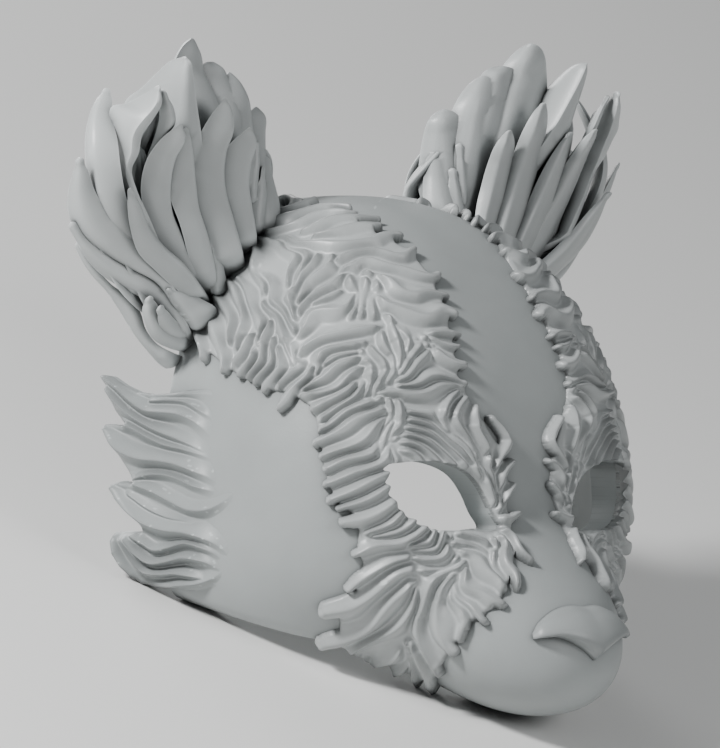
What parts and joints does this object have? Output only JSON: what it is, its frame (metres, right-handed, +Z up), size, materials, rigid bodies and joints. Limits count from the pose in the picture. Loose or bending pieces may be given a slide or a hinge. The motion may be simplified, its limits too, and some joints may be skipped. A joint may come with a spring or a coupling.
{
  "type": "badger mask",
  "caption": "Rigid badger face mask with a short muzzle, nose pad, open eye holes, raised fur relief, cupped fur ears, swept cheek locks and an open back for the head.",
  "frame": {"origin": "centre of the bounding box's base, on the table that the chin and the lowest cheek locks rest on", "axes": "+X to the wearer's left, the longest extent across the ears; +Y to the wearer's back; +Z up"},
  "size_m": [0.3146, 0.2304, 0.2093],
  "materials": {
    "shell": "satin cool grey resin, smooth with a very fine grain",
    "fur": "satin cool grey resin, sculpted as fur with darker grooves",
    "ears": "satin cool grey resin, sculpted as fur with darker grooves",
    "nose": "satin cool grey resin, smooth"
  },
  "bodies": {
    "root": {"mask_shell": "shell", "fur_patch_right": "fur", "fur_patch_left": "fur", "ear_right": "ears", "ear_left": "ears", "nose": "nose"}
  },
  "joints": []
}
